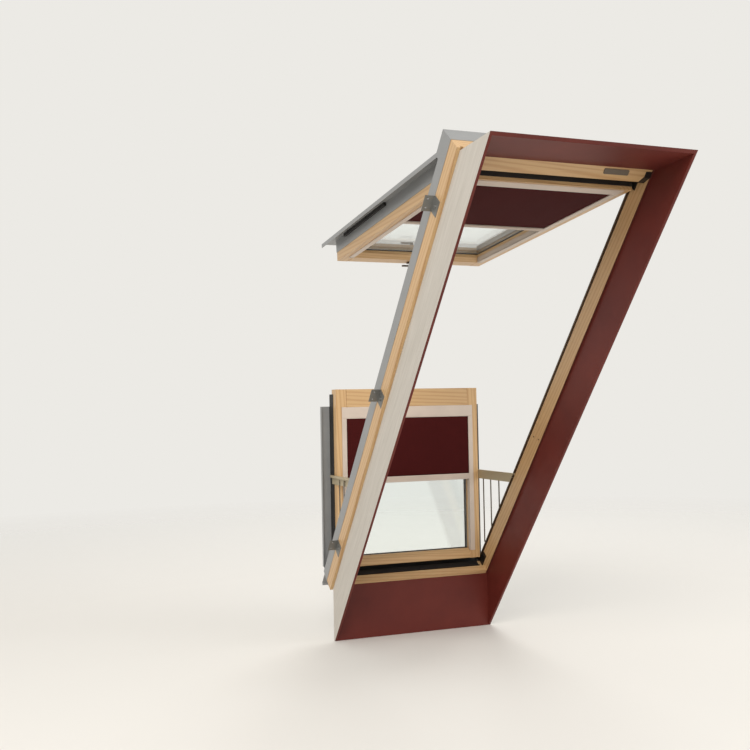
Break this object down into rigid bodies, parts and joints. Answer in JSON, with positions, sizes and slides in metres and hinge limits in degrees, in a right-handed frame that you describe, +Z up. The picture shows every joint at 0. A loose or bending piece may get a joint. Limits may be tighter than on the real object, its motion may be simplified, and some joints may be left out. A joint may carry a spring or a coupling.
{
  "type": "roof balcony window",
  "caption": "Roof window with a top-hung upper sash, a bottom-hung lower sash, folding side rails and sash blinds, with its lined frame.",
  "frame": {"origin": "on the floor, in the middle of the foot of the kerb lining board", "axes": "+Z up, +Y out of the room, +X to the right as seen from the room"},
  "size_m": [1.034, 1.9867, 2.2963],
  "materials": {
    "pine": "clear lacquered",
    "lining_paint": "painted dark red-brown, semi-gloss, raw board behind",
    "track_dark": "dark anodised",
    "seal_rubber": "matt black",
    "cladding_grey": "mid grey lacquered sheet",
    "bracket_steel": "zinc plated",
    "hinge_steel": "dark burnished",
    "plate_grey": "matt",
    "pane": "clear",
    "spacer_metal": "matt",
    "latch_metal": "dark bronze",
    "blind_metal": "pale warm grey",
    "blind_cloth": "burgundy, tight weave",
    "rail_metal": "warm grey lacquer"
  },
  "bodies": {
    "frame": {"frame_head": "pine", "frame_side_left": "pine", "frame_side_right": "pine", "frame_sill": "pine", "lining_top": "lining_paint", "lining_left": "lining_paint", "lining_right": "lining_paint", "lining_apron": "lining_paint", "track_left": "track_dark", "track_right": "track_dark", "frame_seal": "seal_rubber", "side_cover_left": "cladding_grey", "side_cover_right": "cladding_grey", "head_cover": "cladding_grey", "sill_cover": "cladding_grey", "mounting_brackets": "bracket_steel", "bracket_screws": "bracket_steel", "blank_plate": "plate_grey", "upper_hinge_plates": "hinge_steel", "lower_hinge_plates": "hinge_steel", "hinge_pins": "hinge_steel"},
    "upper_sash": {"upper_top_rail": "pine", "upper_bottom_rail": "pine", "upper_stile_left": "pine", "upper_stile_right": "pine", "upper_glass": "pane", "upper_spacer": "spacer_metal", "upper_glazing_seal": "seal_rubber", "upper_cladding": "cladding_grey", "upper_edge_seals": "seal_rubber", "upper_hinge_leaves": "hinge_steel", "upper_blind_cassette": "blind_metal", "upper_blind_channels": "blind_metal", "upper_blind_fabric": "blind_cloth", "latch_case": "latch_metal"},
    "upper_blind_bar": {"upper_blind_bar": "blind_metal"},
    "latch_handle": {"latch_handle": "latch_metal"},
    "lower_sash": {"lower_top_rail": "pine", "lower_bottom_rail": "pine", "lower_stile_left": "pine", "lower_stile_right": "pine", "lower_glass": "pane", "lower_spacer": "spacer_metal", "lower_glazing_seal": "seal_rubber", "lower_cladding": "cladding_grey", "lower_edge_seals": "seal_rubber", "lower_hinge_leaves": "hinge_steel", "lower_blind_cassette": "blind_metal", "lower_blind_channels": "blind_metal", "lower_blind_fabric": "blind_cloth", "rail_studs": "rail_metal"},
    "lower_blind_bar": {"lower_blind_bar": "blind_metal"},
    "handrail_left": {"handrail_left": "rail_metal"},
    "baluster_left_1": {"baluster_left_1": "rail_metal"},
    "baluster_left_2": {"baluster_left_2": "rail_metal"},
    "baluster_left_3": {"baluster_left_3": "rail_metal"},
    "handrail_right": {"handrail_right": "rail_metal"},
    "baluster_right_1": {"baluster_right_1": "rail_metal"},
    "baluster_right_2": {"baluster_right_2": "rail_metal"},
    "baluster_right_3": {"baluster_right_3": "rail_metal"}
  },
  "joints": [
    {"name": "upper_sash_hinge", "type": "hinge", "parent": "frame", "child": "upper_sash", "pos_m": [0, -1.449, 2.19726], "axis": [-1, 0, 0], "range_deg": [0, 45]},
    {"name": "lower_sash_hinge", "type": "hinge", "parent": "frame", "child": "lower_sash", "pos_m": [0, 0.07963, 0.33194], "axis": [1, 0, 0], "range_deg": [0, 40]},
    {"name": "handrail_left_pivot", "type": "hinge", "parent": "lower_sash", "child": "handrail_left", "pos_m": [0, 0.08463, 0.83394], "axis": [-1, 0, 0], "range_deg": [0, 90]},
    {"name": "baluster_left_1_pivot", "type": "hinge", "parent": "handrail_left", "child": "baluster_left_1", "pos_m": [0, -0.02737, 0.83394], "axis": [1, 0, 0], "range_deg": [0, 90]},
    {"name": "baluster_left_2_pivot", "type": "hinge", "parent": "handrail_left", "child": "baluster_left_2", "pos_m": [0, -0.10637, 0.83394], "axis": [1, 0, 0], "range_deg": [0, 90]},
    {"name": "baluster_left_3_pivot", "type": "hinge", "parent": "handrail_left", "child": "baluster_left_3", "pos_m": [0, -0.19337, 0.83394], "axis": [1, 0, 0], "range_deg": [0, 90]},
    {"name": "handrail_right_pivot", "type": "hinge", "parent": "lower_sash", "child": "handrail_right", "pos_m": [0, 0.08463, 0.83394], "axis": [-1, 0, 0], "range_deg": [0, 90]},
    {"name": "baluster_right_1_pivot", "type": "hinge", "parent": "handrail_right", "child": "baluster_right_1", "pos_m": [0, -0.02737, 0.83394], "axis": [1, 0, 0], "range_deg": [0, 90]},
    {"name": "baluster_right_2_pivot", "type": "hinge", "parent": "handrail_right", "child": "baluster_right_2", "pos_m": [0, -0.10637, 0.83394], "axis": [1, 0, 0], "range_deg": [0, 90]},
    {"name": "baluster_right_3_pivot", "type": "hinge", "parent": "handrail_right", "child": "baluster_right_3", "pos_m": [0, -0.19337, 0.83394], "axis": [1, 0, 0], "range_deg": [0, 90]},
    {"name": "latch_turn", "type": "hinge", "parent": "upper_sash", "child": "latch_handle", "pos_m": [0, -0.07354, 1.98758], "axis": [0, 0.0872, 0.9962], "range_deg": [0, 90]},
    {"name": "upper_blind_slide", "type": "slide", "parent": "upper_sash", "child": "upper_blind_bar", "axis": [0, -0.9962, 0.0872], "range_m": [-0.62, 0.55], "deforming": ["upper_blind_fabric"]},
    {"name": "lower_blind_slide", "type": "slide", "parent": "lower_sash", "child": "lower_blind_bar", "axis": [0, 0, 1], "range_m": [-0.38, 0.31], "deforming": ["lower_blind_fabric"]}
  ],
  "couplings": [
    {"joint": "handrail_left_pivot", "follows": "lower_sash_hinge", "ratio": 2.25},
    {"joint": "baluster_left_1_pivot", "follows": "lower_sash_hinge", "ratio": 2.25},
    {"joint": "baluster_left_2_pivot", "follows": "lower_sash_hinge", "ratio": 2.25},
    {"joint": "baluster_left_3_pivot", "follows": "lower_sash_hinge", "ratio": 2.25},
    {"joint": "handrail_right_pivot", "follows": "lower_sash_hinge", "ratio": 2.25},
    {"joint": "baluster_right_1_pivot", "follows": "lower_sash_hinge", "ratio": 2.25},
    {"joint": "baluster_right_2_pivot", "follows": "lower_sash_hinge", "ratio": 2.25},
    {"joint": "baluster_right_3_pivot", "follows": "lower_sash_hinge", "ratio": 2.25}
  ]
}
